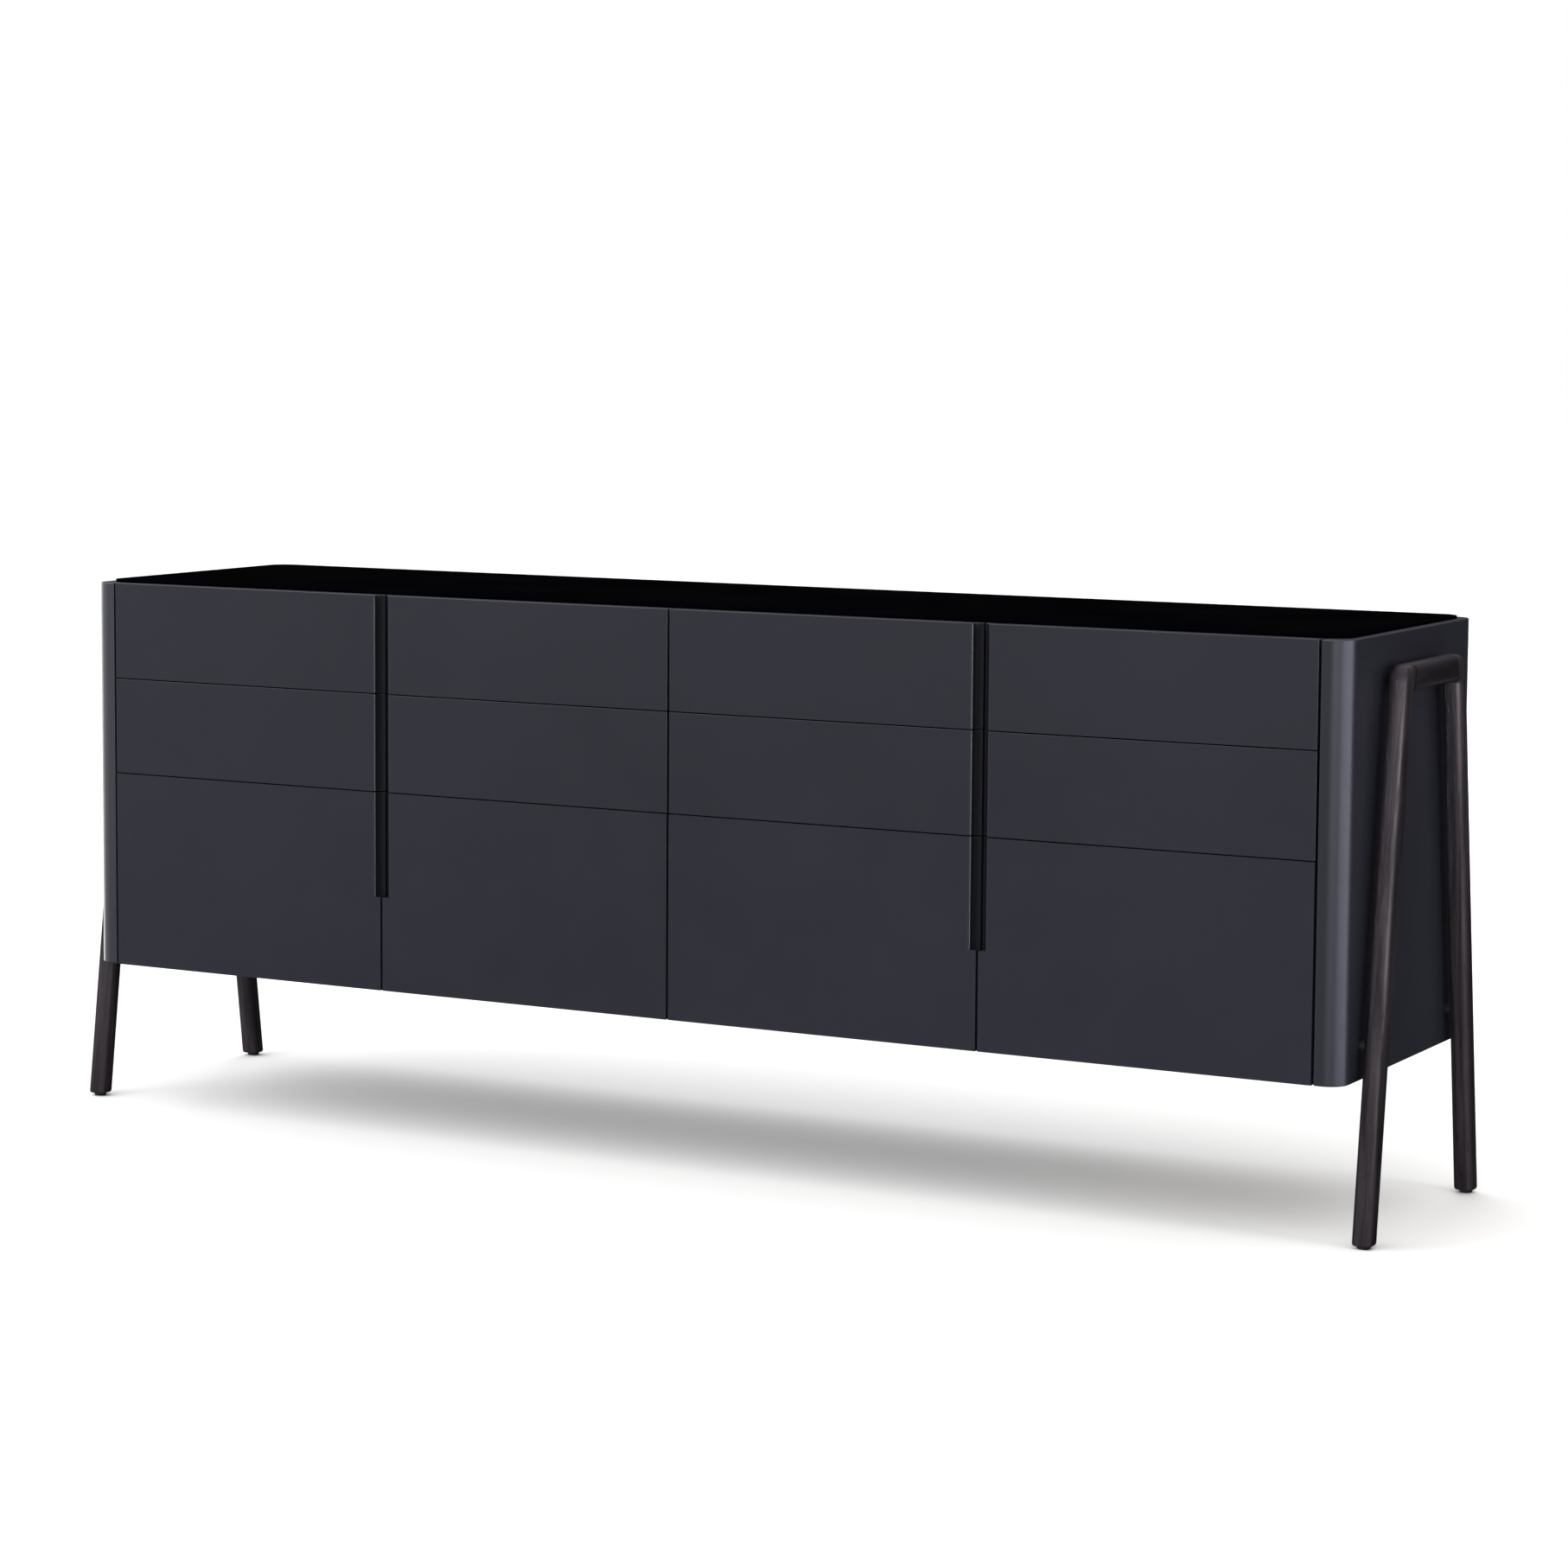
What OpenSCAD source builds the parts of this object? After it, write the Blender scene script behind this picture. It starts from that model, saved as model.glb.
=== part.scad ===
// Long low dresser: twelve drawers in four bays, on two A-shaped end frames.
// +X runs along the front, +Y from the front to the back, +Z up.
// The origin is at floor level, midway between the ends and between front and back.

/* [Body] */
// Number of bays side by side, in pairs that share a finger groove
bays = 4; // [2:2:6]
// Distance between the centre lines of neighbouring uprights
bay_w = 480; // [380:1:600]
// Depth of the body from the drawer fronts to the rear edge
body_d = 480; // [400:1:600]
// Height of the body's underside above the floor
floor_gap = 213; // [150:1:300]
// Width of each end shell as seen from the front
shell_w = 40; // [36:1:60]
// Outer radius of the body's upright corners
corner_r = 28; // [10:1:34]

/* [Drawers] */
// Height of the top and middle rows
row_h = 143; // [120:1:200]
// Height of the deep bottom row
deep_row_h = 291; // [200:1:360]
// Thickness of the drawer fronts
front_t = 22; // [20:1:28]
// Gap between neighbouring bays' fronts
gap_v = 3.5; // [2:0.5:5]
// Gap between fronts one above the other
gap_h = 1.5; // [1:0.5:4]
// Space left behind the drawer boxes
box_rear_gap = 44; // [20:1:80]
// Thickness of the drawer box walls
box_t = 12; // [9:1:16]
// Thickness of the drawer bottoms
bottom_t = 6; // [4:1:9]
// Space between a top box and the deck above it
headroom = 11; // [5:1:40]
// Space between a deep box's walls and the top of its row
deep_headroom = 69; // [10:1:120]

/* [Finger grooves] */
// Radius of the half-round channel
groove_r = 11.3; // [10:0.1:17]
// Distance of the channel's axis behind the faces, which undercuts its lips
groove_set = 2.5; // [0:0.1:3]
// Height of the channel's lower end above the body's underside
groove_foot = 137; // [60:1:180]

/* [Panels] */
// Thickness of the uprights
upright_t = 18; // [15:1:22]
// Thickness of the bottom panel and of the deck
panel_t = 18; // [15:1:22]
// Thickness of the end shells' side walls
shell_t = 18; // [12:1:22]
// Thickness of the end shells' rear lips
rear_lip = 14; // [10:1:20]
// Thickness of the back panel
back_t = 8; // [4:1:12]
// Thickness of the top sheet
top_t = 4; // [3:1:12]
// Inset of the top sheet from the body's sides
top_inset = 12; // [4:1:20]
// Inset of the top sheet from the body's rear edge
top_rear_inset = 14; // [4:1:20]

/* [Leg frames] */
// Width of a leg across the body
leg_w = 28; // [24:1:36]
// Width of a leg from front to back
leg_d = 28; // [24:1:40]
// Radius of the legs' long edges
leg_r = 8; // [2:1:11]
// Lean of each leg from upright, in degrees
leg_lean = 7.5; // [0:0.5:10]
// Distance of the glides' centres inside the body's front and rear edges
foot_inset = 41; // [20:1:60]
// Shift of the frames from the body's middle, towards the rear
frame_shift = -6; // [-15:1:15]
// Distance of the rail's upper face below the top of the end shells
rail_drop = 39; // [10:1:120]
// Depth of the rail
rail_h = 35; // [28:1:50]
// Radius of the frame's upper outer corners
knee_r = 26; // [10:1:32]
// Air gap between the end shells and the leg frames
stand_off = 8; // [5:1:15]
// Radius of the glides under the legs
glide_r = 9; // [6:0.5:11]
// Height of the glides
glide_h = 4; // [3:1:8]

/* [Runners] */
// Space for a runner between an upright and a drawer box
runner_space = 13; // [12.5:0.1:15]
// Height of the cabinet member
runner_h = 35; // [27:1:45]
// Sheet thickness of the runner members
runner_t = 1.2; // [1:0.1:1.5]

/* [Hardware] */
// Radius of the frame bolts
bolt_r = 4; // [3:0.5:5]
// Radius of the stand-off washers
washer_r = 8; // [6:0.5:12]

/* [Hidden] */
$fn = 64;
ROWS = ["deep", "middle", "top"];
SIDES = ["left", "right"];
ENDS = ["front", "rear"];

LACQUER = "#3b3c41";
BLACK = "#08080a";
DARK_WOOD = "#3a3436";
BOX_WOOD = "#8d8378";
STEEL = "#a9abad";
PLASTIC = "#1b1b1c";

// Play between a drawer front and the carcass behind it
front_play = 2;
// Space between a deep box and the bottom panel
box_clear = 4;
// Play round the pieces that slide or drop in
fit = 0.1;
// Clearance round the frame bolts
bolt_fit = 0.1;
// The fronts, the deck and the end shells all end at this height above the underside
fronts_h = deep_row_h + 2 * row_h;
deck_z = floor_gap + fronts_h;
half_bays = bays * bay_w / 2;
half_w = half_bays + shell_w;
front_y = -body_d / 2;
back_y = body_d / 2;
inner_y = front_y + front_t;
carcass_y = inner_y + front_play;
lip_y = back_y - rear_lip;
pocket_x = half_w - shell_t;

row_z = [0, deep_row_h, deep_row_h + row_h];
row_heights = [deep_row_h, row_h, row_h];

box_w = bay_w - upright_t - 2 * runner_space;
box_d = lip_y - inner_y - box_rear_gap;
// Height of a box's underside above the lower edge of its row
box_lift = panel_t + box_clear;
box_h = row_h - panel_t - headroom - box_lift;
deep_box_h = deep_row_h - deep_headroom - box_lift;
wall_heights = [deep_box_h, box_h, box_h];

// Height of a runner's centre line above the box's underside
runner_lift = 30;
// Distance of a member's flange tips from the face that carries the other member
member_gap = 2.8;
// Height between the two members' flanges, where the balls run
member_play = 5.3;
// Distance of a drawer member's rear end from the back of its box
runner_inset = 2;
runner_d = box_d - runner_inset;

foot_span = body_d - 2 * foot_inset;
rail_top = deck_z - rail_drop;
frame_x = half_w + stand_off + leg_w / 2;
lean_shift = tan(leg_lean);
// Half the distance between the legs' centre lines at the rail's upper face
knee_half = foot_span / 2 - rail_top * lean_shift;
leg_half = leg_d / 2 / cos(leg_lean);
upper_bolt_z = rail_top - rail_h / 2;
// Height of the lower bolts above the body's underside
bolt_rise = 45;
lower_bolt_z = floor_gap + bolt_rise;
// How far a knee's arc stands outside true tangency with the leg
knee_cut = 0.1;
// Depth of the frame bolts in the legs and rails
bolt_depth = 18;
head_r = 7;
head_h = 4.5;
// How far a drilling runs past the faces it opens
over = 1;
// A length beyond every piece
far = 2000;

function row_index(row) = search([row], ROWS)[0];
function bay_x(b) = (b - (bays + 1) / 2) * bay_w;
// A groove lies on the right of odd bays and on the left of even ones
function groove_side(b) = b % 2 == 1 ? 1 : -1;
function side_sign(side) = side == "left" ? -1 : 1;
function end_sign(end) = end == "front" ? -1 : 1;
// Distance of a leg's centre line from the frame's middle at a height above the floor
function leg_y(z) = foot_span / 2 - z * lean_shift;

module rounded_square(w, h, r) {
    arc_x = w / 2 - r;
    arc_y = h / 2 - r;
    square([w - 2 * r, h], center = true);
    square([w, h - 2 * r], center = true);
    for (x = [-arc_x, arc_x], y = [-arc_y, arc_y]) translate([x, y]) circle(r);
}

// Rounded plan outline of width w, centred on the body, from depth y0 to depth y1
module plan(w, y0, y1, r) {
    translate([0, (y0 + y1) / 2]) rounded_square(w, y1 - y0, r);
}

// Place what is modelled on the right-hand end at either end
module at_end(side) {
    mirror([side == "left" ? 1 : 0, 0, 0]) children();
}

// ---- carcass ----

module carcass_board(z) {
    translate([-pocket_x, carcass_y, z]) cube([2 * pocket_x, lip_y - carcass_y, panel_t]);
}

module bottom_panel() {
    color(LACQUER) carcass_board(floor_gap);
}

module deck() {
    color(LACQUER) carcass_board(deck_z - panel_t);
}

module upright(i) {
    color(LACQUER) translate([i * bay_w - half_bays - upright_t / 2, carcass_y, floor_gap + panel_t])
        cube([upright_t, lip_y - carcass_y, fronts_h - 2 * panel_t]);
}

module back_panel() {
    w = 2 * half_bays;
    color(LACQUER) translate([-w / 2, lip_y, floor_gap]) cube([w, back_t, fronts_h]);
}

module top_sheet() {
    color(BLACK) translate([0, 0, deck_z]) linear_extrude(top_t)
        plan(2 * (half_w - top_inset), inner_y, back_y - top_rear_inset, corner_r);
}

module end_shell(side) {
    return_x = half_bays + gap_v / 2;
    color(LACQUER) at_end(side) difference() {
        translate([0, 0, floor_gap]) linear_extrude(fronts_h) difference() {
            plan(2 * half_w, front_y, back_y, corner_r);
            translate([-far, -far]) square([far + return_x, 2 * far]);
            translate([0, inner_y]) square([pocket_x, lip_y - inner_y]);
        }
        frame_holes();
    }
}

// ---- leg frames ----

// Bolt axes of a frame, in its own plane
module at_bolts() {
    for (s = [-1, 1]) {
        translate([0, frame_shift + s * (leg_y(lower_bolt_z)), lower_bolt_z]) children();
        translate([0, frame_shift + s * (leg_y(upper_bolt_z) - leg_d), upper_bolt_z]) children();
    }
}

module frame_holes() {
    at_bolts() translate([pocket_x - over, 0, 0]) rotate([0, 90, 0])
        cylinder(r = bolt_r + bolt_fit, h = shell_t + stand_off + bolt_depth + 2 * over);
}

// Slice of space across a leg frame, from an outline in its plane
module across_frame() {
    translate([frame_x - leg_w, frame_shift, 0]) rotate([90, 0, 90]) linear_extrude(2 * leg_w) children();
}

// The waste outside the rounded upper corner of the rear leg
module knee_waste() {
    reach = knee_r * tan((90 - leg_lean) / 2);
    corner_y = knee_half + leg_half;
    difference() {
        translate([corner_y - reach, rail_top - reach - knee_cut]) square(reach + leg_d);
        translate([corner_y - reach, rail_top - knee_r]) circle(knee_r + knee_cut);
        translate([corner_y - reach - leg_d, rail_top - leg_d - reach]) square([leg_d, leg_d + reach]);
    }
}

// Long straight stock for one leg, from below the floor to above the rail
module leg_stock(end) {
    s = end_sign(end);
    translate([frame_x, frame_shift + s * foot_span / 2, 0]) rotate([s * leg_lean, 0, 0])
        translate([0, 0, -leg_d]) linear_extrude(rail_top + 3 * leg_d) rounded_square(leg_w, leg_d, leg_r);
}

// Everything outboard of a leg's inner face
module leg_zone(end) {
    s = end_sign(end);
    translate([frame_x - leg_w, frame_shift + s * foot_span / 2, 0]) rotate([s * leg_lean, 0, 0])
        translate([0, s > 0 ? -leg_d / 2 : -far + leg_d / 2, -leg_d]) cube([2 * leg_w, far, far]);
}

module leg(end, side) {
    color(DARK_WOOD) at_end(side) difference() {
        leg_stock(end);
        translate([0, -far, -far]) cube([2 * far, 2 * far, far + glide_h]);
        translate([0, -far, rail_top]) cube([2 * far, 2 * far, far]);
        across_frame() mirror([end == "front" ? 1 : 0, 0]) knee_waste();
        frame_holes();
    }
}

module cross_rail(side) {
    color(DARK_WOOD) at_end(side) difference() {
        translate([frame_x, frame_shift, upper_bolt_z]) rotate([90, 0, 0])
            linear_extrude(2 * knee_half, center = true) rounded_square(leg_w, rail_h, leg_r);
        for (end = ENDS) leg_zone(end);
        frame_holes();
    }
}

module glides() {
    color(PLASTIC) for (side = SIDES, s = [-1, 1]) at_end(side)
        translate([frame_x, frame_shift + s * foot_span / 2, 0]) cylinder(r = glide_r, h = glide_h);
}

module washers() {
    color(PLASTIC) for (side = SIDES) at_end(side) at_bolts() translate([half_w, 0, 0])
        rotate([0, 90, 0]) difference() {
            cylinder(r = washer_r, h = stand_off);
            translate([0, 0, -over]) cylinder(r = bolt_r + bolt_fit, h = stand_off + 2 * over);
        }
}

module frame_bolts() {
    color(STEEL) for (side = SIDES) at_end(side) at_bolts() translate([pocket_x, 0, 0])
        rotate([0, 90, 0]) {
            translate([0, 0, -head_h]) cylinder(r = head_r, h = head_h);
            cylinder(r = bolt_r, h = shell_t + stand_off + bolt_depth);
        }
}

// ---- drawers ----

module drawer_front(row, b) {
    k = row_index(row);
    top_gap = k == len(ROWS) - 1 ? 0 : gap_h / 2;
    foot_gap = k == 0 ? 0 : gap_h / 2;
    color(LACQUER) difference() {
        translate([bay_x(b) - (bay_w - gap_v) / 2, front_y, floor_gap + row_z[k] + foot_gap])
            cube([bay_w - gap_v, front_t, row_heights[k] - top_gap - foot_gap]);
        translate([bay_x(b) + groove_side(b) * bay_w / 2, front_y + groove_set, floor_gap + groove_foot])
            cylinder(r = groove_r, h = far);
    }
}

// Five boards: two full-length sides, with the inner front, the back and the bottom between them
module drawer_box(row, b) {
    k = row_index(row);
    h = wall_heights[k];
    inner_w = box_w - 2 * box_t - 2 * fit;
    color(BOX_WOOD) translate([bay_x(b), inner_y, floor_gap + row_z[k] + box_lift]) {
        for (s = [-1, 1]) translate([s * (box_w - box_t) / 2 - box_t / 2, 0, 0]) cube([box_t, box_d, h]);
        for (y = [0, box_d - box_t]) translate([-inner_w / 2, y, 0]) cube([inner_w, box_t, h]);
        translate([-inner_w / 2, box_t + fit, 0]) cube([inner_w, box_d - 2 * box_t - 2 * fit, bottom_t]);
    }
}

// Channel section, web on the X = 0 plane and flanges towards +X
module channel(h, w, web_x) {
    translate([web_x, -h / 2]) square([runner_t, h]);
    for (y = [-h / 2, h / 2 - runner_t]) translate([0, y]) square([w, runner_t]);
}

// Place a runner's section on one side of a bay, its X measured from the upright inwards
module at_runner(row, b, s, d) {
    k = row_index(row);
    z = floor_gap + row_z[k] + box_lift + runner_lift;
    translate([bay_x(b), inner_y, z]) mirror([s > 0 ? 1 : 0, 0, 0])
        translate([-(bay_w - upright_t) / 2, d, 0]) rotate([90, 0, 0]) children();
}

module cabinet_runners(b) {
    color(STEEL) for (row = ROWS, s = [-1, 1]) at_runner(row, b, s, runner_d + front_play)
        linear_extrude(runner_d) channel(runner_h, runner_space - member_gap, 0);
}

module drawer_runners(row, b) {
    h = runner_h - 2 * runner_t - 2 * member_play;
    web_x = runner_space - member_gap - runner_t;
    color(STEEL) for (s = [-1, 1]) at_runner(row, b, s, runner_d) linear_extrude(runner_d) {
        translate([member_gap, 0]) channel(h, runner_space - member_gap, web_x);
    }
}

bottom_panel();
deck();
back_panel();
top_sheet();
glides();
washers();
frame_bolts();
for (i = [0:bays])
    upright(i);
for (side = SIDES) {
    end_shell(side);
    cross_rail(side);
    for (end = ENDS)
        leg(end, side);
}
for (b = [1:bays]) {
    cabinet_runners(b);
    for (row = ROWS) {
        drawer_front(row, b);
        drawer_box(row, b);
        drawer_runners(row, b);
    }
}
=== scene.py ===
"""Looks of the long low dresser: fronts, shells, top, leg frames, boxes and their finishes."""

import math

import bmesh
import bpy
from mathutils import Matrix, Vector


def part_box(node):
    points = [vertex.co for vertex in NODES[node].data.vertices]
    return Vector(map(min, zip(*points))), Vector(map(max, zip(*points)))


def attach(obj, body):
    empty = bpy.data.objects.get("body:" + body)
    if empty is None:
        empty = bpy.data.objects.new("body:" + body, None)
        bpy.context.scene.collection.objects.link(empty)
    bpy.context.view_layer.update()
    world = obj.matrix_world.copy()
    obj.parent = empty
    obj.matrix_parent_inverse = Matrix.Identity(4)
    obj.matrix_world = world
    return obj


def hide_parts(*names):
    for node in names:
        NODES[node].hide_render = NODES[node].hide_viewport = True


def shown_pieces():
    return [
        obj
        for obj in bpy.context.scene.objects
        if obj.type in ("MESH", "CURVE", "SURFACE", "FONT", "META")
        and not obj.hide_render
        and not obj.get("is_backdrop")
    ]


MM = 0.001
CARCASS = "carcass"
SHARP_ANGLE = 40  # edges sharper than this are rounded, and round small parts are smooth up to it
BAYS = range(1, 5)
ROWS = ("deep", "middle", "top")
SIDES = ("left", "right")

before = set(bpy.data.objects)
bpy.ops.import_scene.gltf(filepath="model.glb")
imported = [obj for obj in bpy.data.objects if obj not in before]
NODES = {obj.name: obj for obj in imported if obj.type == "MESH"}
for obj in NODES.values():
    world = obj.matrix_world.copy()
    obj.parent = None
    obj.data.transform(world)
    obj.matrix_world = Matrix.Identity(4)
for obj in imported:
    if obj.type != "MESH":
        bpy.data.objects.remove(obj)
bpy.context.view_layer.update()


# ---- mesh helpers ----

def add_mesh(name, points, faces, smooth_angle=30):
    """A new mesh object whose faces are smooth except across edges sharper than smooth_angle."""
    mesh = bpy.data.meshes.new(name)
    mesh.from_pydata([tuple(p) for p in points], [], faces)
    mesh.validate()
    mesh.shade_smooth()
    mesh.set_sharp_from_angle(angle=math.radians(smooth_angle))
    piece = bpy.data.objects.new(name, mesh)
    bpy.context.scene.collection.objects.link(piece)
    return piece


def skin(loops):
    """Faces that join equal closed loops of points one after another, with a cap at each end."""
    count = len(loops[0])
    points = [p for loop in loops for p in loop]
    faces = []
    for k in range(len(loops) - 1):
        low, high = k * count, (k + 1) * count
        for i in range(count):
            j = (i + 1) % count
            faces.append((low + i, low + j, high + j, high + i))
    faces.append(tuple(reversed(range(count))))
    faces.append(tuple(range(len(points) - count, len(points))))
    return points, faces


def upright_loops(outline, low, high):
    """The two end loops of an upright prism with square rims."""
    return [[(x, y, z) for x, y in outline] for z in (low, high)]


def arc(centre, radius, start, end, steps):
    """Points of an arc in a plane, angles in degrees, both ends included."""
    angles = [math.radians(start + (end - start) * i / steps) for i in range(steps + 1)]
    return [(centre[0] + radius * math.cos(a), centre[1] + radius * math.sin(a)) for a in angles]


def shifted_in(outline, distance):
    """An anticlockwise outline moved inwards by a small distance, keeping its points."""
    moved = []
    count = len(outline)
    for i, here in enumerate(outline):
        before, after = Vector(outline[i - 1]), Vector(outline[(i + 1) % count])
        here = Vector(here)
        first, second = (here - before).normalized(), (after - here).normalized()
        normal = Vector((-first.y, first.x)) + Vector((-second.y, second.x))
        normal.normalize()
        lean = max(0.5, normal.dot(Vector((-second.y, second.x))))
        moved.append(tuple(here + normal * (distance / lean)))
    return moved


def rim(radius, steps=4):
    """(inward shift, distance from the end) pairs of a quarter round, from the end face inwards."""
    turns = [math.pi / 2 * i / steps for i in range(steps + 1)]
    return [(radius * (1 - math.sin(t)), radius * (1 - math.cos(t))) for t in turns]


def prism(outline, low, high, radius):
    """Loops of an upright prism over an outline, with rounded rims at both ends."""
    loops = [[(x, y, low + rise) for x, y in shifted_in(outline, shift)] for shift, rise in rim(radius)]
    loops += [
        [(x, y, high - rise) for x, y in shifted_in(outline, shift)]
        for shift, rise in reversed(rim(radius))
    ]
    return loops


def stepped_prism(lower, upper, low, step, high):
    """An upright prism whose outline changes at a height; points the outlines share stay joined."""
    count = len(lower)
    points = [(x, y, low) for x, y in lower] + [(x, y, step) for x, y in lower]
    ring = []
    for i, (a, b) in enumerate(zip(lower, upper)):
        if a != b:
            points.append((b[0], b[1], step))
        ring.append(count + i if a == b else len(points) - 1)
    top = len(points)
    points += [(x, y, high) for x, y in upper]
    faces = [tuple(reversed(range(count))), tuple(range(top, top + count))]
    for i in range(count):
        j = (i + 1) % count
        faces.append((i, j, count + j, count + i))
        faces.append((ring[i], ring[j], top + j, top + i))
        ledge = list(dict.fromkeys([count + i, count + j, ring[j], ring[i]]))
        if len(ledge) > 2:
            faces.append(tuple(ledge))
    return points, faces


def cuboid(low, high):
    """Points and faces of a block between two corners."""
    (x0, y0, z0), (x1, y1, z1) = low, high
    points = [(x, y, z) for z in (z0, z1) for x, y in ((x0, y0), (x1, y0), (x1, y1), (x0, y1))]
    faces = [(3, 2, 1, 0), (4, 5, 6, 7)]
    faces += [(i, (i + 1) % 4, 4 + (i + 1) % 4, 4 + i) for i in range(4)]
    return points, faces


def lathe(profile, centre, axis, steps=32):
    """A closed turned shape: (radius, distance along the axis) pairs round an axis through centre."""
    turn = Vector((0, 0, 1)).rotation_difference(Vector(axis)).to_matrix()
    loops = []
    for radius, rise in profile:
        ring = [Vector((x, y, rise)) for x, y in arc((0, 0), radius, 0, 360 - 360 / steps, steps - 1)]
        loops.append([tuple(turn @ p + Vector(centre)) for p in ring])
    return skin(loops)


def joined(shapes):
    """Several (points, faces) shapes as one."""
    points, faces = [], []
    for more_points, more_faces in shapes:
        base = len(points)
        points += list(more_points)
        faces += [tuple(base + i for i in face) for face in more_faces]
    return points, faces


# ---- nodes ----

def colour(code):
    """Linear RGBA of an sRGB hex code."""
    parts = [int(code[i:i + 2], 16) / 255 for i in (0, 2, 4)]
    return tuple(c / 12.92 if c <= 0.04045 else ((c + 0.055) / 1.055) ** 2.4 for c in parts) + (1.0,)


def node(tree, kind, sockets=None, **settings):
    """A new node whose inputs are either set to a value or joined to a socket."""
    made = tree.nodes.new(kind)
    for key, value in settings.items():
        setattr(made, key, value)
    for key, value in (sockets or {}).items():
        if isinstance(value, bpy.types.NodeSocket):
            tree.links.new(value, made.inputs[key])
        else:
            made.inputs[key].default_value = value
    return made


class Finish:
    """A procedural material, built up in calls that each return an output socket."""

    def __init__(self, name, **constants):
        self.material = bpy.data.materials.new(name)
        self.material.use_nodes = True
        self.tree = self.material.node_tree
        self.shader = self.tree.nodes["Principled BSDF"]
        for key, value in constants.items():
            self.shader.inputs[key.replace("_", " ")].default_value = value

    def place(self, turn=(0, 0, 0), stretch=(1, 1, 1)):
        """Object coordinates, turned and then scaled along their axes."""
        here = node(self.tree, "ShaderNodeTexCoord").outputs["Object"]
        turned = node(self.tree, "ShaderNodeMapping", {"Vector": here, "Rotation": turn}).outputs[0]
        return node(self.tree, "ShaderNodeMapping", {"Vector": turned, "Scale": stretch}).outputs[0]

    def noise(self, where, scale, detail=2.0, roughness=0.5, distortion=0.0):
        """Fractal noise with about scale features a metre."""
        sockets = {"Vector": where, "Scale": scale, "Detail": detail, "Roughness": roughness,
                   "Distortion": distortion}
        return node(self.tree, "ShaderNodeTexNoise", sockets).outputs["Fac"]

    def scaled(self, value, start, end, low=0.0, high=1.0):
        """A value between start and end brought to between low and high."""
        sockets = {"Value": value, "From Min": start, "From Max": end, "To Min": low, "To Max": high}
        return node(self.tree, "ShaderNodeMapRange", sockets).outputs[0]

    def mixed(self, share, first, second):
        """A colour between two colours."""
        return node(self.tree, "ShaderNodeMix", {0: share, 6: first, 7: second},
                    data_type="RGBA").outputs[2]

    def bump(self, height, distance, under=None):
        """Relief of a depth in metres, on top of another relief if one is given."""
        sockets = {"Height": height, "Distance": distance}
        if under is not None:
            sockets["Normal"] = under
        return node(self.tree, "ShaderNodeBump", sockets).outputs[0]

    def give(self, **joined_to):
        """Join sockets to the shader's inputs and return the material."""
        for key, socket in joined_to.items():
            self.tree.links.new(socket, self.shader.inputs[key.replace("_", " ")])
        return self.material


# ---- finishes ----

def lacquer(name, dark, light, smooth, rough, level):
    """Sprayed satin lacquer: slow drift of tone, faint rubbed patches and a fine orange peel."""
    made = Finish(name, Specular_IOR_Level=level)
    here = made.place()
    drift = made.noise(here, scale=2.3, detail=3.0)
    rubbed = made.noise(here, scale=19.0, detail=5.0, roughness=0.62)
    peel = made.noise(here, scale=620.0, detail=1.0)
    grit = made.noise(here, scale=2600.0, detail=1.0)
    return made.give(
        Base_Color=made.mixed(made.scaled(drift, 0.3, 0.7), colour(dark), colour(light)),
        Roughness=made.scaled(rubbed, 0.25, 0.75, smooth, rough),
        Normal=made.bump(grit, distance=0.000004, under=made.bump(peel, distance=0.00003)),
    )


def black_top():
    """Back-painted black glass with an etched matt face and a faint cloudy etch."""
    made = Finish("black_top", Specular_IOR_Level=0.0)
    here = made.place()
    etch = made.noise(here, scale=1500.0)
    cloud = made.noise(here, scale=6.0, detail=4.0)
    return made.give(
        Base_Color=made.mixed(made.scaled(cloud, 0.3, 0.7), colour("020203"), colour("040405")),
        Roughness=made.scaled(cloud, 0.3, 0.7, 0.42, 0.5),
        Normal=made.bump(etch, distance=0.00001),
    )


SHEEN_TINT = (1.0, 0.91, 0.99, 1.0)
CROWN_LOW = 0.70  # heights in metres between which the leg frames darken towards the top
CROWN_HIGH = 0.765


def wood(name, dark, light, pore_colour, turn, level=0.24, gloss=(0.38, 0.52), pore_depth=0.0002,
         crown_colour=None):
    """Open-grained wood whose grain runs along Z after the turn, with a darker crown if it has one."""
    made = Finish(name, Specular_Tint=SHEEN_TINT)
    figure = made.noise(made.place(turn, (1, 1, 0.05)), scale=55.0, detail=4.0, roughness=0.55,
                        distortion=1.4)
    fibre = made.noise(made.place(turn, (1, 1, 0.02)), scale=420.0, detail=3.0, roughness=0.6)
    pores = made.noise(made.place(turn, (1, 1, 0.035)), scale=900.0)
    pore = made.scaled(pores, 0.6, 0.68)
    tone = made.mixed(made.scaled(figure, 0.32, 0.68), colour(dark), colour(light))
    tone = made.mixed(made.scaled(fibre, 0.3, 0.9, 0.0, 0.5), tone, colour(dark))
    tone = made.mixed(made.scaled(pores, 0.58, 0.7, 0.0, 0.85), tone, colour(pore_colour))
    if crown_colour:
        height = node(made.tree, "ShaderNodeSeparateXYZ", {0: made.place()}).outputs["Z"]
        crown = made.scaled(height, CROWN_LOW, CROWN_HIGH, 0.0, 0.8)
        tone = made.mixed(crown, tone, colour(crown_colour))
    return made.give(
        Base_Color=tone,
        Roughness=made.scaled(fibre, 0.2, 0.8, *gloss),
        Specular_IOR_Level=made.scaled(figure, 0.34, 0.66, level * 0.6, level * 1.4),
        Normal=made.bump(fibre, distance=0.00007, under=made.bump(pore, distance=-pore_depth)),
    )


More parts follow.
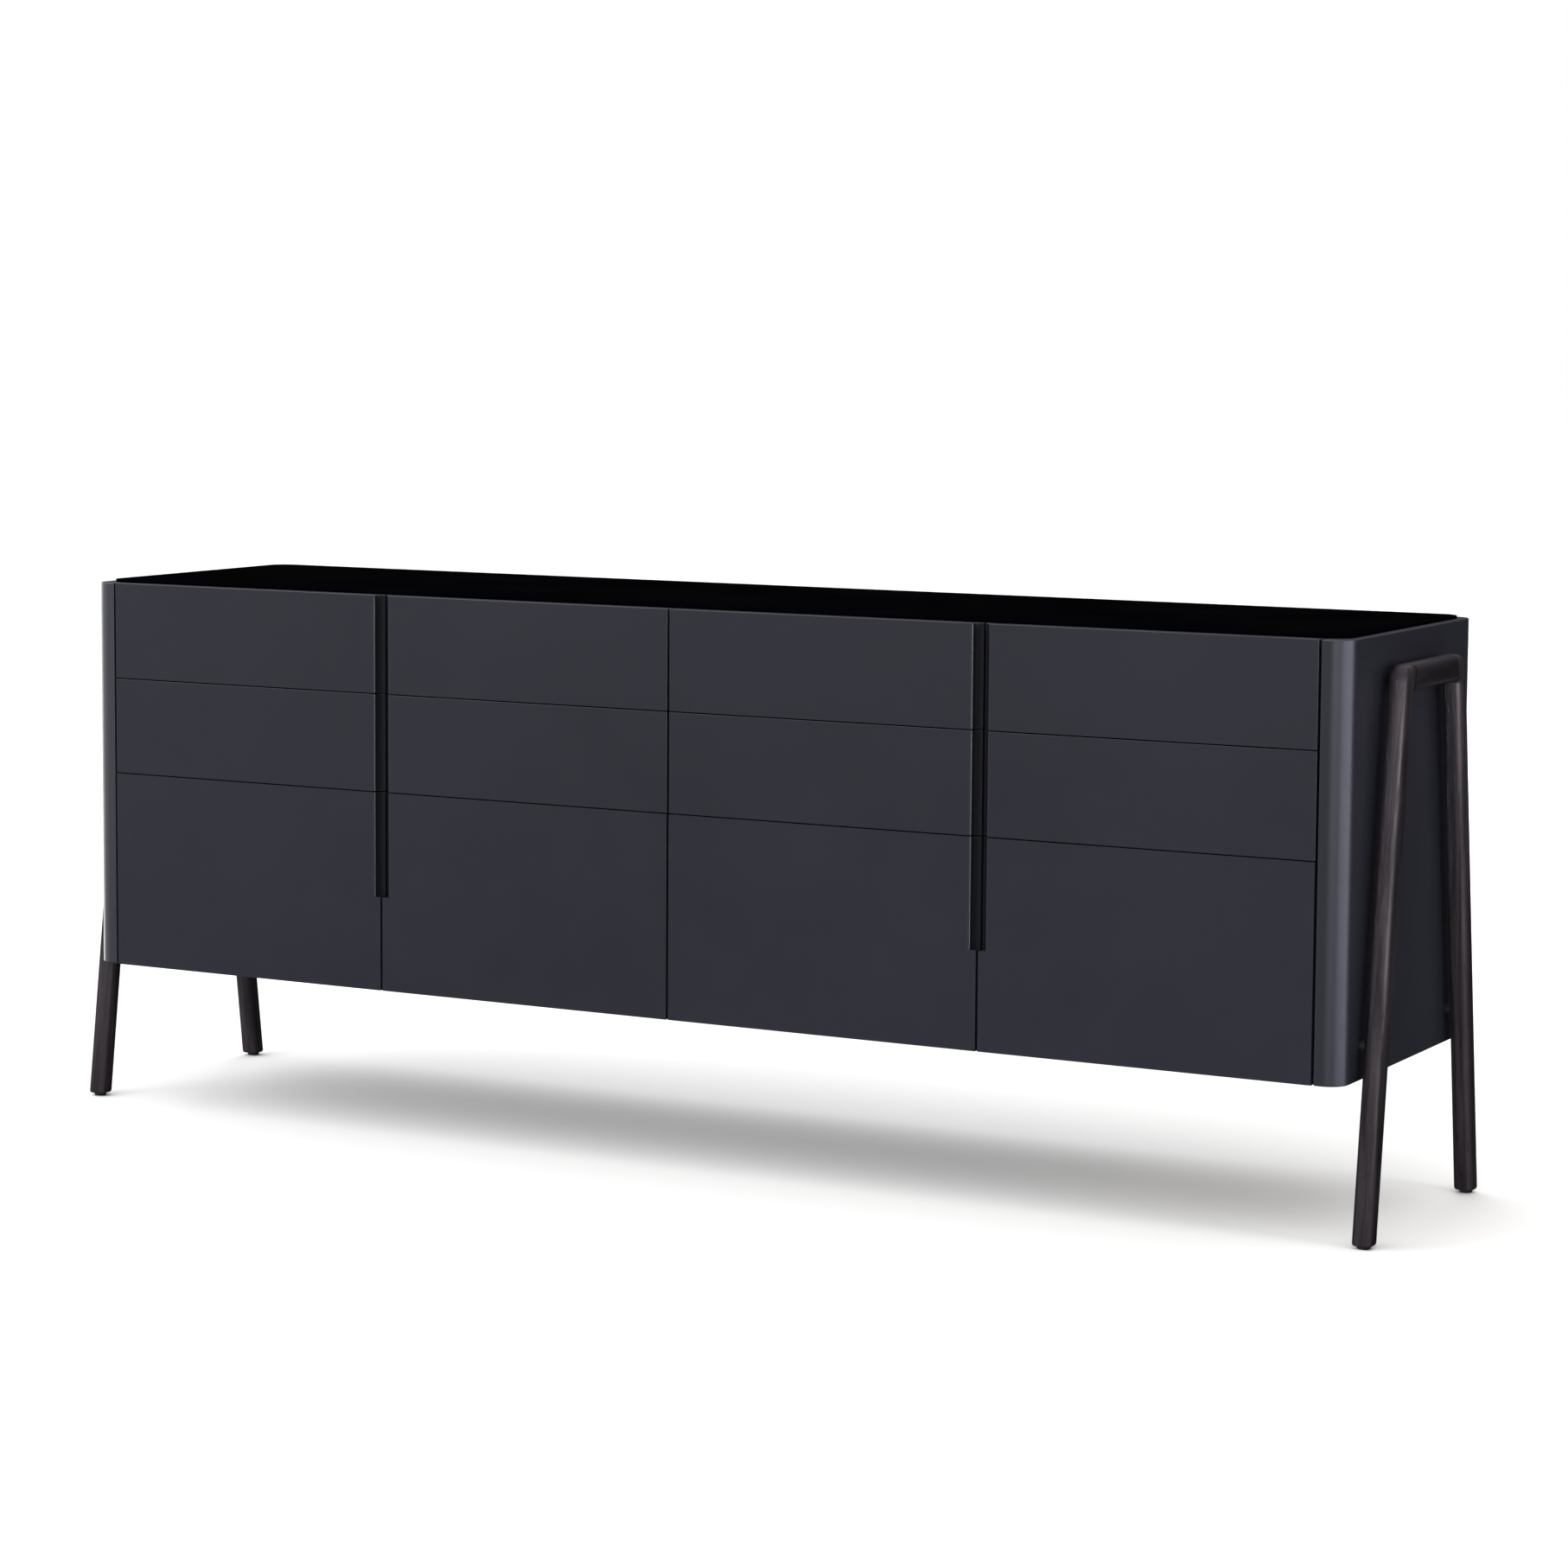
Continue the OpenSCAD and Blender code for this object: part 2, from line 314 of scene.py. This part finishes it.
def board(name, dark, light):
    """Melamine-faced board with a fine pressed texture."""
    made = Finish(name, Specular_IOR_Level=0.3)
    here = made.place()
    cloud = made.noise(here, scale=9.0, detail=4.0)
    press = made.noise(here, scale=1100.0)
    return made.give(
        Base_Color=made.mixed(made.scaled(cloud, 0.3, 0.7), colour(dark), colour(light)),
        Roughness=made.scaled(press, 0.3, 0.7, 0.5, 0.62),
        Normal=made.bump(press, distance=0.00004),
    )


def metal(name, dark, light, smooth, rough, stretch):
    """Zinc-plated steel with rolling marks along its length and blotchy plating."""
    made = Finish(name, Metallic=1.0)
    marks = made.noise(made.place(stretch=stretch), scale=800.0, detail=3.0)
    blotch = made.noise(made.place(), scale=40.0, detail=5.0, roughness=0.6)
    return made.give(
        Base_Color=made.mixed(made.scaled(blotch, 0.3, 0.7), colour(dark), colour(light)),
        Roughness=made.scaled(marks, 0.25, 0.75, smooth, rough),
        Normal=made.bump(marks, distance=0.00001),
    )


def plastic():
    """Moulded black plastic with a fine spark-eroded texture."""
    made = Finish("plastic", Specular_IOR_Level=0.4)
    grain = made.noise(made.place(), scale=1800.0)
    return made.give(
        Base_Color=made.mixed(made.scaled(grain, 0.3, 0.7), colour("0e0e0f"), colour("171718")),
        Roughness=made.scaled(grain, 0.3, 0.7, 0.45, 0.6),
        Normal=made.bump(grain, distance=0.00003),
    )


def pale_floor():
    """Near-white matt floor with a faint cloudiness."""
    made = Finish("pale_floor", Specular_IOR_Level=0.1)
    cloud = made.noise(made.place(), scale=0.7)
    return made.give(
        Base_Color=made.mixed(cloud, colour("f2f2f2"), colour("f6f6f6")),
        Roughness=made.scaled(cloud, 0.0, 1.0, 0.7, 0.8),
    )


LACQUER = lacquer("lacquer", "1b1c25", "1f2029", smooth=0.3, rough=0.38, level=0.25)
# the cove lacquer is darker and duller than the face lacquer: painted shade inside the grooves
LACQUER_COVE_SHADE = lacquer("lacquer_cove", "101117", "13141a", smooth=0.34, rough=0.42, level=0.14)
# the edge lacquer is lighter than the face lacquer: a painted highlight on rounded edges; it is also a
# little glossier
LACQUER_EDGE_HIGHLIGHT = lacquer("lacquer_edge", "1e1f28", "25262f", smooth=0.27, rough=0.35, level=0.32)
BLACK = black_top()
BOARD = board("carcass_board", "1d1e22", "222328")
STEEL = metal("steel", "8f9194", "a9abae", smooth=0.26, rough=0.4, stretch=(1, 0.02, 1))
PLASTIC = plastic()
LEG_LEAN = 7.5
LEG_WOOD = {
    end: wood(f"leg_wood_{end}", dark, light, "080607", (math.radians(turn), 0, 0),
              crown_colour="151219")
    for end, turn, dark, light in (
        ("front", LEG_LEAN, "120f14", "2d252b"),
        ("rear", -LEG_LEAN, "120f14", "2d252b"),
        ("rail", 90, "100e14", "1e1b22"),
    )
}
BOX_WOOD = {
    axis: wood(f"box_wood_{axis}", "756b60", "94897c", "5c5349", turn,
               level=0.3, gloss=(0.5, 0.6), pore_depth=0.00004)
    for axis, turn in (("along", (math.radians(90), 0, 0)), ("across", (0, math.radians(90), 0)))
}


# ---- pieces ----

def place_piece(name, shape, body, finishes, nodes=(), bevel=0.0, edge=False, angle=30):
    """Make a piece from a shape in millimetres, round its edges, and hang it on its body."""
    points, faces = shape
    piece = add_mesh(name, [Vector(p) * MM for p in points], faces, angle)
    for finish in finishes:
        piece.data.materials.append(finish)
    if bevel:
        # with edge set, the rounded edges take the last finish; on fronts and shells that is the
        # lighter edge lacquer, a painted highlight
        round_edges(piece, bevel, len(finishes) - 1 if edge else -1)
    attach(piece, body)
    if nodes:
        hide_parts(*nodes)
    return piece


def round_edges(piece, radius, finish_index=-1, steps=3):
    """Round a piece's sharp edges by a radius in millimetres, keeping its flats flat."""
    bevel = piece.modifiers.new("edges", "BEVEL")
    bevel.width = radius * MM
    bevel.segments = steps
    bevel.limit_method = "ANGLE"
    bevel.angle_limit = math.radians(SHARP_ANGLE)
    bevel.material = finish_index
    bevel.use_clamp_overlap = True
    flats = piece.modifiers.new("flats", "WEIGHTED_NORMAL")
    flats.keep_sharp = True


def corners(name):
    """Lowest and highest corner of a CAD node, in millimetres."""
    low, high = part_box(name)
    return Vector([round(v / MM, 3) for v in low]), Vector([round(v / MM, 3) for v in high])


def mirrored(outline):
    """An outline mirrored in X and kept anticlockwise."""
    return [(-x, y) for x, y in reversed(outline)]


EDGE_R = 1.5
GROOVE_R = 11.3
GROOVE_SET = 2.5  # the groove's axis lies this far behind the faces
GROOVE_FOOT = 350.0  # height of the grooves' lower ends above the floor
GROOVE_STEPS = 28
NOSE_R = 3.4  # round lip between a front's face and its groove
NOSE_STEPS = 8
# slot of the darker cove lacquer, painted shade in the grooves
COVE_SHADE_SLOT = 1
# slot of the lighter edge lacquer, a painted highlight on lips and edges
EDGE_HIGHLIGHT_SLOT = 2
RIGHT_GROOVE_HIGHLIGHT_SHARE = 1.0  # share of the nose's depth that takes the painted edge highlight, on fronts with the groove on their right; the rest of the nose takes the painted cove shade
LEFT_GROOVE_HIGHLIGHT_SHARE = 0.08  # the same, on fronts with the groove on their left
STRAIGHT = 0.9999  # a face whose normal reaches this along an axis is flat, not part of a curve


def front_outlines(low, high, axis_x):
    """Plain and grooved plan outlines of a front whose groove lies at its right-hand end."""
    axis_y = low.y + GROOVE_SET
    side = axis_x - high.x
    rear = math.sqrt(GROOVE_R ** 2 - side ** 2)
    drop = NOSE_R - GROOVE_SET
    turn = math.degrees(math.asin(drop / (GROOVE_R + NOSE_R)))
    nose_x = axis_x - math.sqrt((GROOVE_R + NOSE_R) ** 2 - drop ** 2)
    nose = arc((nose_x, low.y + NOSE_R), NOSE_R, -90, -turn, NOSE_STEPS)
    end = 90 + math.degrees(math.asin(side / GROOVE_R))
    cove = nose + arc((axis_x, axis_y), GROOVE_R, 180 - turn, end, GROOVE_STEPS)[1:]
    first, last = (nose_x, low.y), (high.x, axis_y + rear)
    cove[0], cove[-1] = first, last
    half = (len(cove) - 1) // 2
    square = [first]
    square += [(first[0] + (high.x - first[0]) * i / half, low.y) for i in range(1, half + 1)]
    square += [(high.x, low.y + (last[1] - low.y) * i / half) for i in range(1, half + 1)]
    before, after = [(low.x, low.y)], [(high.x, high.y), (low.x, high.y)]
    return before + square + after, before + cove + after


def make_front(row, bay):
    """A drawer front; the grooves lie on the right of odd bays and on the left of even ones."""
    name = f"front_{row}_{bay}"
    low, high = corners(name)
    on_left = bay % 2 == 0
    post_low, post_high = corners(f"upright_{bay if on_left else bay + 1}")
    axis_x = (post_low.x + post_high.x) / 2
    if on_left:
        low.x, high.x, axis_x = -high.x, -low.x, -axis_x
    plain, grooved = front_outlines(low, high, axis_x)
    if on_left:
        plain, grooved = mirrored(plain), mirrored(grooved)
    if low.z < GROOVE_FOOT:
        shape = stepped_prism(plain, grooved, low.z, GROOVE_FOOT, high.z)
    else:
        shape = skin(upright_loops(grooved, low.z, high.z))
    front = place_piece(f"drawer_front_{row}_{bay}", shape, f"drawer_{row}_{bay}",
                        [LACQUER, LACQUER_COVE_SHADE, LACQUER_EDGE_HIGHLIGHT], [name], EDGE_R, True)
    # the lip's nose takes the painted edge highlight down to this depth, and curved faces behind it
    # take the painted cove shade
    highlight_depth = (LEFT_GROOVE_HIGHLIGHT_SHARE if on_left else RIGHT_GROOVE_HIGHLIGHT_SHARE) * NOSE_R
    for face in front.data.polygons:
        if max(abs(v) for v in face.normal) < STRAIGHT:
            takes_cove_shade = face.center.y > (low.y + highlight_depth) * MM
            face.material_index = COVE_SHADE_SLOT if takes_cove_shade else EDGE_HIGHLIGHT_SLOT


CORNER_R = 28.0
CORNER_STEPS = 24


def make_shell(side):
    """An end shell: a post with two round outer corners and a pocket for the carcass."""
    name = f"end_shell_{side}"
    low, high = corners(name)
    if side == "left":
        low.x, high.x = -high.x, -low.x
    pocket = corners("deck")[1]
    inner_y = corners("front_top_1")[1].y
    centre_x = high.x - CORNER_R
    outline = [(low.x, low.y)]
    outline += arc((centre_x, low.y + CORNER_R), CORNER_R, -90, 0, CORNER_STEPS)
    outline += arc((centre_x, high.y - CORNER_R), CORNER_R, 0, 90, CORNER_STEPS)
    outline += [(low.x, high.y), (low.x, pocket.y), (pocket.x, pocket.y)]
    outline += [(pocket.x, inner_y), (low.x, inner_y)]
    if side == "left":
        outline = mirrored(outline)
    place_piece(f"shell_{side}", skin(upright_loops(outline, low.z, high.z)), CARCASS,
                [LACQUER, LACQUER_EDGE_HIGHLIGHT], [name], EDGE_R, True)


TOP_EDGE = 0.8


def make_top():
    """The black top sheet, with round corners."""
    low, high = corners("top_sheet")
    places = ((high.x, low.y), (high.x, high.y), (low.x, high.y), (low.x, low.y))
    outline = []
    for turn, (x, y) in zip((-90, 0, 90, 180), places):
        centre = (x - math.copysign(CORNER_R, x), y - math.copysign(CORNER_R, y))
        outline += arc(centre, CORNER_R, turn, turn + 90, CORNER_STEPS)
    place_piece("top_glass", skin(upright_loops(outline, low.z, high.z)), CARCASS,
                [BLACK], ["top_sheet"], TOP_EDGE)


# ---- leg frames ----

LEG_D = 28.0
LEG_R = 8.0
KNEE_R = 26.0
KNEE_STEPS = 14
FILLET_R = 5.0
FILLET_STEPS = 5
GLIDE_R = 9.0
JOINT_OUT = 0.4  # the joint lies this far past the end of the fillet
FOOT_CHAMFER = 3.4
JOINT_CHAMFER = 0.25
OFFCUT = 40.0  # length of leg below the floor that is cut away


def frame_side(rail_low, rail_high, foot_half):
    """Outer and inner halves of a frame's outline on its rear side, both from the foot upwards."""
    lean = math.radians(LEG_LEAN)

    def face(z, offset):
        return foot_half - z * math.tan(lean) + offset / math.cos(lean)

    knee_z = rail_high.z - KNEE_R
    fillet_z = rail_low.z - FILLET_R
    knee = (face(knee_z, LEG_D / 2 - KNEE_R), knee_z)
    fillet = (face(fillet_z, -LEG_D / 2 - FILLET_R), fillet_z)
    outer = [(face(-OFFCUT, LEG_D / 2), -OFFCUT)] + arc(knee, KNEE_R, LEG_LEAN, 90, KNEE_STEPS)
    inner = [(face(-OFFCUT, -LEG_D / 2), -OFFCUT)] + arc(fillet, FILLET_R, LEG_LEAN, 90, FILLET_STEPS)
    return outer, inner


def cut(shape, point, outward, chamfer):
    """Cut away what lies beyond a plane, close the opening and chamfer its rim."""
    mesh = shape.copy()
    done = bmesh.ops.bisect_plane(
        mesh, geom=mesh.verts[:] + mesh.edges[:] + mesh.faces[:], plane_co=point, plane_no=outward,
        clear_outer=True)
    rim_edges = [e for e in done["geom_cut"] if isinstance(e, bmesh.types.BMEdge)]
    bmesh.ops.holes_fill(mesh, edges=rim_edges, sides=0)
    bmesh.ops.bevel(mesh, geom=rim_edges, offset=chamfer, segments=2, profile=0.5, affect="EDGES")
    return mesh


def make_leg_frame(side):
    """One whole bent frame, cut into two legs and the rail between them."""
    rail_low, rail_high = corners(f"cross_rail_{side}")
    glides_low, glides_high = corners("glides")
    shift = (glides_low.y + glides_high.y) / 2
    foot_half = (glides_high.y - glides_low.y) / 2 - GLIDE_R
    outer, inner = frame_side(rail_low, rail_high, foot_half)
    outline = outer + [(-y, z) for y, z in reversed(outer)]
    outline += [(-y, z) for y, z in inner] + list(reversed(inner))
    outline = [(y + shift, z) for y, z in outline]
    loops = [[(x, y, z) for y, z, x in loop] for loop in prism(outline, rail_low.x, rail_high.x, LEG_R)]
    points, faces = skin(loops)
    whole = bmesh.new()
    vertices = [whole.verts.new(p) for p in points]
    for face in faces:
        whole.faces.new([vertices[i] for i in face])
    lean = math.radians(LEG_LEAN)
    joints = {}
    for end, s in (("front", -1), ("rear", 1)):
        along = Vector((0, s * math.cos(lean), math.sin(lean)))
        foot = Vector((0, shift + s * foot_half, 0))
        joints[end] = (foot - along * (LEG_D / 2 + FILLET_R + JOINT_OUT), along)
    for end, (point, along) in joints.items():
        leg = cut(whole, point, -along, JOINT_CHAMFER)
        leg = cut(leg, Vector((0, 0, glides_high.z)), Vector((0, 0, -1)), FOOT_CHAMFER)
        hang_bmesh(leg, f"leg_{side}_{end}", LEG_WOOD[end], f"leg_{end}_{side}")
    rail = cut(whole, *joints["front"], JOINT_CHAMFER)
    rail = cut(rail, *joints["rear"], JOINT_CHAMFER)
    hang_bmesh(rail, f"rail_{side}", LEG_WOOD["rail"], f"cross_rail_{side}")


def hang_bmesh(built, name, finish, node_name):
    """Make a piece of a leg frame in place of its CAD node."""
    points = [tuple(v.co) for v in built.verts]
    built.verts.index_update()
    faces = [tuple(v.index for v in face.verts) for face in built.faces]
    place_piece(name, (points, faces), CARCASS, [finish], [node_name])


# (radius, height) pairs of a foot glide
GLIDE_PROFILE = ((7.2, 0.0), (8.4, 0.35), (9.0, 1.1), (9.0, 3.1), (8.6, 3.6), (8.6, 4.0))


def make_glides():
    """The four turned glides under the legs."""
    low, high = corners("glides")
    x, y = high.x - GLIDE_R, (high.y - low.y) / 2 - GLIDE_R
    shift = (high.y + low.y) / 2
    shapes = [
        lathe(GLIDE_PROFILE, (sx * x, shift + sy * y, 0), (0, 0, 1))
        for sx in (-1, 1) for sy in (-1, 1)
    ]
    place_piece("foot_glides", joined(shapes), CARCASS, [PLASTIC], ["glides"],
                angle=SHARP_ANGLE)


# ---- drawer boxes ----

BOX_T = 12.0
BOTTOM_T = 6.0
BOX_EDGE_R = 1.0
WALL_PLAY = 0.1
SCREW_IN = 70.0  # box screws, from the sides, the lower edge and the upper edge
SCREW_UP = 26.0
SCREW_DOWN = 22.0
BOX_HEAD = (4.2, 2.2)  # radius and rise of a screw's head
BACK_HEAD = (3.6, 1.6)
HEAD_STEPS = 24
# (share of radius, share of rise) pairs of a pan head, from its rim to its crown
PAN = ((1.0, 0.0), (1.0, 0.35), (0.93, 0.7), (0.78, 1.0))
CROSS_REACH = 0.62  # the cross recess, as shares of the head's radius and rise
CROSS_HALF = 0.16
CROSS_FLOOR = 0.4
CROSS_TAPER = (0.85, 0.8)
FACES_IN_BOARD = 6


def screw_head(centre, axis, radius, rise):
    """A pan head with a cross recess, its flat side at centre and its crown along the axis."""
    turn = Vector((0, 0, 1)).rotation_difference(Vector(axis)).to_matrix()

    def ring(r, z, cross=0.0):
        made = []
        for i in range(HEAD_STEPS):
            a = 2 * math.pi * (i + 0.5) / HEAD_STEPS
            reach = r
            if cross:
                fold = abs((a + math.pi / 4) % (math.pi / 2) - math.pi / 4)
                reach = min(r, cross / max(math.sin(fold), 0.001))
            at = turn @ Vector((reach * math.cos(a), reach * math.sin(a), z))
            made.append(tuple(at + Vector(centre)))
        return made

    arm = radius * CROSS_REACH
    width = radius * CROSS_HALF
    loops = [ring(radius * r, rise * z) for r, z in PAN]
    loops.append(ring(arm, rise, width))
    loops.append(ring(arm * CROSS_TAPER[0], rise * CROSS_FLOOR, width * CROSS_TAPER[1]))
    return skin(loops)


def make_box(row, bay):
    """A drawer box of four walls and a bottom, with the screws that hold its front."""
    name = f"box_{row}_{bay}"
    low, high = corners(name)
    inner = BOX_T + WALL_PLAY
    sides = [
        cuboid((x, low.y, low.z), (x + BOX_T, high.y, high.z)) for x in (low.x, high.x - BOX_T)
    ]
    ends = [
        cuboid((low.x + inner, y, low.z), (high.x - inner, y + BOX_T, high.z))
        for y in (low.y, high.y - BOX_T)
    ]
    bottom = cuboid((low.x + inner, low.y + inner, low.z),
                    (high.x - inner, high.y - inner, low.z + BOTTOM_T))
    screws = [
        screw_head((x, low.y + BOX_T, z), (0, 1, 0), *BOX_HEAD)
        for x in (low.x + SCREW_IN, high.x - SCREW_IN) for z in (low.z + SCREW_UP, high.z - SCREW_DOWN)
    ]
    shape = joined(sides + ends + [bottom] + screws)
    piece = place_piece(f"drawer_box_{row}_{bay}", shape, f"drawer_{row}_{bay}",
                        [BOX_WOOD["along"], BOX_WOOD["across"], STEEL], [name], BOX_EDGE_R)
    side_faces = FACES_IN_BOARD * len(sides)
    wood_faces = side_faces + FACES_IN_BOARD * (len(ends) + 1)
    for face in piece.data.polygons:
        if face.index >= wood_faces:
            face.material_index = 2
        elif face.index >= side_faces:
            face.material_index = 1


# ---- carcass boards, runners and back ----

WELD = 0.000005
SHEET_EDGE_R = 0.3
BOLT_EDGE_R = 0.5
BOARD_EDGE_R = 0.6
BACK_SCREW_EDGE = 9.0  # back screws, from the back panel's upper and lower edges
BACK_SCREW_IN = 12.0  # the outer columns, inwards from the outer uprights' middles
BACK_SCREW_GAPS = 4


def dress_node(name, finish, radius):
    """Give a CAD node its finish and rounded edges."""
    piece = NODES[name]
    for slot in piece.material_slots:
        slot.link = "OBJECT"
        slot.material = finish
    weld = piece.modifiers.new("weld", "WELD")
    weld.merge_threshold = WELD
    round_edges(piece, radius, steps=2)


def make_back_screws():
    """Screws that hold the back panel to the uprights."""
    low, high = corners("back_panel")
    columns = [sum(c.x for c in corners(f"upright_{i}")) / 2 for i in range(1, 6)]
    rows = [low.z + (high.z - low.z) * i / BACK_SCREW_GAPS for i in range(BACK_SCREW_GAPS + 1)]
    rows[0] += BACK_SCREW_EDGE
    rows[-1] -= BACK_SCREW_EDGE
    columns[0] += BACK_SCREW_IN
    columns[-1] -= BACK_SCREW_IN
    heads = [screw_head((x, high.y, z), (0, 1, 0), *BACK_HEAD) for x in columns for z in rows]
    place_piece("back_screws", joined(heads), CARCASS, [STEEL], angle=SHARP_ANGLE)


for bay in BAYS:
    for row in ROWS:
        make_front(row, bay)
        make_box(row, bay)
        dress_node(f"drawer_runners_{row}_{bay}", STEEL, SHEET_EDGE_R)
    dress_node(f"cabinet_runners_{bay}", STEEL, SHEET_EDGE_R)
for side in SIDES:
    make_shell(side)
    make_leg_frame(side)
make_top()
make_glides()
make_back_screws()
for name in ["deck", "bottom_panel", "back_panel"] + [f"upright_{i}" for i in range(1, 6)]:
    dress_node(name, BOARD, BOARD_EDGE_R)
dress_node("washers", LACQUER, BOARD_EDGE_R)
dress_node("frame_bolts", STEEL, BOLT_EDGE_R)


# ---- room ----

FLOOR_R = 40.0
FLOOR_T = 0.02
FLOOR_STEPS = 60
UP = (0.0, 0.0, 1.0)
WHITE = (1.0, 1.0, 1.0)
WARM = (1.0, 0.88, 0.74)
COOL = (0.9, 0.93, 1.12)
RIGHT_END = (1.0, -0.2, 0.5)
LEFT_END = (-1.0, -0.2, 0.5)
CAMERA_PLACE = (2.8431, -5.1611, 1.2069)
CAMERA_TURN = 28.914  # degrees to the left of straight at the front, downwards, and about the view
CAMERA_DIP = 5.419
CAMERA_ROLL = 0.337
CAMERA_LENS = 94.25
CAMERA_SENSOR = 36.0
CAMERA_SHIFT = (0.0238, -0.0554)


def make_floor():
    """A wide pale disc that gloss doesn't see, so the fronts stay dark low down."""
    ring = arc((0, 0), FLOOR_R, 0, 360 - 360 / FLOOR_STEPS, FLOOR_STEPS - 1)
    points, faces = skin(upright_loops(ring, -FLOOR_T, 0.0))
    floor = add_mesh("floor", points, faces)
    floor.data.materials.append(pale_floor())
    floor.visible_glossy = False
    floor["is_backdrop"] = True


def light_room():
    """White for the camera; as light, strongest above and on the left, weakest behind and right."""
    world = bpy.data.worlds.new("studio")
    world.use_nodes = True
    bpy.context.scene.world = world
    tree = world.node_tree
    background = tree.nodes["Background"]
    way = node(tree, "ShaderNodeTexCoord").outputs["Generated"]

    def share(direction, start, end, low, high):
        along = node(tree, "ShaderNodeVectorMath", {0: way, 1: direction}, operation="DOT_PRODUCT")
        sockets = {"Value": along.outputs["Value"], "From Min": start, "From Max": end,
                   "To Min": low, "To Max": high}
        return node(tree, "ShaderNodeMapRange", sockets, interpolation_type="SMOOTHSTEP").outputs[0]

    def product(first, second):
        return node(tree, "ShaderNodeMath", {0: first, 1: second}, operation="MULTIPLY").outputs[0]

    upward = share(UP, start=0.1, end=0.9, low=1.0, high=1.4)
    horizon = share(UP, start=-0.24, end=0.12, low=0.22, high=1.55)
    sideways = share((0.80, 0.60, -0.35), start=-0.8, end=0.75, low=1.0, high=0.28)
    rearward = share((-0.3, 0.95, -0.6), start=0.3, end=0.85, low=1.0, high=0.05)
    level = product(product(upward, horizon), product(sideways, rearward))
    seen = node(tree, "ShaderNodeLightPath").outputs["Is Camera Ray"]
    strength = node(tree, "ShaderNodeMix", {0: seen, 2: level, 3: 1.0}, data_type="FLOAT").outputs[0]
    background.inputs["Color"].default_value = (*WHITE, 1.0)
    tree.links.new(strength, background.inputs["Strength"])


def area_light(name, place, target, size, power, tint=WHITE):
    """A rectangular light that the camera doesn't see."""
    data = bpy.data.lights.new(name, "AREA")
    data.color = tint
    data.shape = "RECTANGLE"
    data.size, data.size_y = size
    data.energy = power
    lamp = bpy.data.objects.new(name, data)
    lamp.location = place
    lamp.visible_camera = False
    lamp.rotation_euler = (Vector(target) - Vector(place)).to_track_quat("-Z", "Y").to_euler()
    bpy.context.scene.collection.objects.link(lamp)
    return lamp


def fill_light(name, place, target, size, power, tint=WHITE):
    """A soft light that isn't seen as gloss."""
    area_light(name, place, target, size, power, tint).visible_glossy = False


def sheen_light(name, lit, place, target, size, power, tint=WHITE):
    """A soft light seen only as gloss, and only on the pieces whose names start with lit."""
    lamp = area_light(name, place, target, size, power, tint)
    lamp.visible_diffuse = False
    receivers = bpy.data.collections.new(name)
    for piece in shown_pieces():
        if piece.name.startswith(lit):
            receivers.objects.link(piece)
    lamp.light_linking.receiver_collection = receivers


def make_lights():
    """Key and fills, then the sheens that draw the highlights on shells, legs, lips and rails."""
    area_light("key", (-4.0, -4.5, 4.2), (0, 0, 0.5), (3.0, 3.0), 60)
    fill_light("right_fill", (4.2, -0.5, 1.3), (1.0, 0, 0.5), (0.8, 1.4), 24, WARM)
    fill_light("back_fill", (-1.5, 5.0, 2.5), (0, 0, 0.5), (4.0, 3.0), 110)
    sheen_light("right_sheen", "shell", (4.6, -0.9, 1.0), (1.0, -0.9, 0.7), (5.0, 3.2), 330, COOL)
    sheen_light("leg_sheen", "leg", (3.7, -2.8, 0.9), RIGHT_END, (3.0, 3.0), 320)
    sheen_light("leg_front_sheen", "leg", (0.2, -4.6, 1.6), (1.0, -0.2, 0.6), (3.6, 1.6), 130)
    sheen_light("left_leg_sheen", "leg_left", (-3.4, -3.4, 0.9), (-1.0, -0.2, 0.3), (2.4, 1.4), 85)
    sheen_light("low_left_sheen", "leg_left_rear", (-2.0, -1.3, 0.16), (-1.0, 0.2, 0.3), (1.4, 0.3), 75)
    sheen_light("low_front_sheen", "leg_right_rear", (2.4, -2.6, 0.3), (1.0, 0.1, 0.6), (2.4, 0.5), 210)
    sheen_light("lip_sheen", "drawer_front", (4.8, -1.4, 1.0), (0.0, -0.24, 0.6), (1.6, 3.2), 240)
    sheen_light("left_sheen", "shell", (-4.6, 1.2, 0.8), LEFT_END, (3.0, 2.8), 120)
    sheen_light("left_front_sheen", "shell_left", (-4.2, -2.2, 0.9), LEFT_END, (3.6, 3.0), 60)
    sheen_light("front_sheen", "shell", (2.6, -4.6, 1.0), (0.6, -0.2, 0.5), (3.6, 3.0), 115)
    sheen_light("low_sheen", "rail", (1.1, 1.9, 0.03), (1.1, 1.9, 1.0), (2.0, 2.4), 3)


def make_camera():
    """The photo's camera."""
    data = bpy.data.cameras.new("camera")
    data.sensor_width = CAMERA_SENSOR
    data.lens = CAMERA_LENS
    data.shift_x, data.shift_y = CAMERA_SHIFT
    camera = bpy.data.objects.new("camera", data)
    turn = Matrix.Rotation(math.radians(CAMERA_TURN), 3, "Z")
    turn = turn @ Matrix.Rotation(math.radians(90 - CAMERA_DIP), 3, "X")
    turn = turn @ Matrix.Rotation(math.radians(CAMERA_ROLL), 3, "Z")
    camera.matrix_world = Matrix.Translation(CAMERA_PLACE) @ turn.to_4x4()
    bpy.context.scene.collection.objects.link(camera)
    bpy.context.scene.camera = camera


make_floor()
light_room()
make_lights()
make_camera()
bpy.context.scene.view_settings.view_transform = "Standard"
bpy.context.scene.view_settings.look = "None"
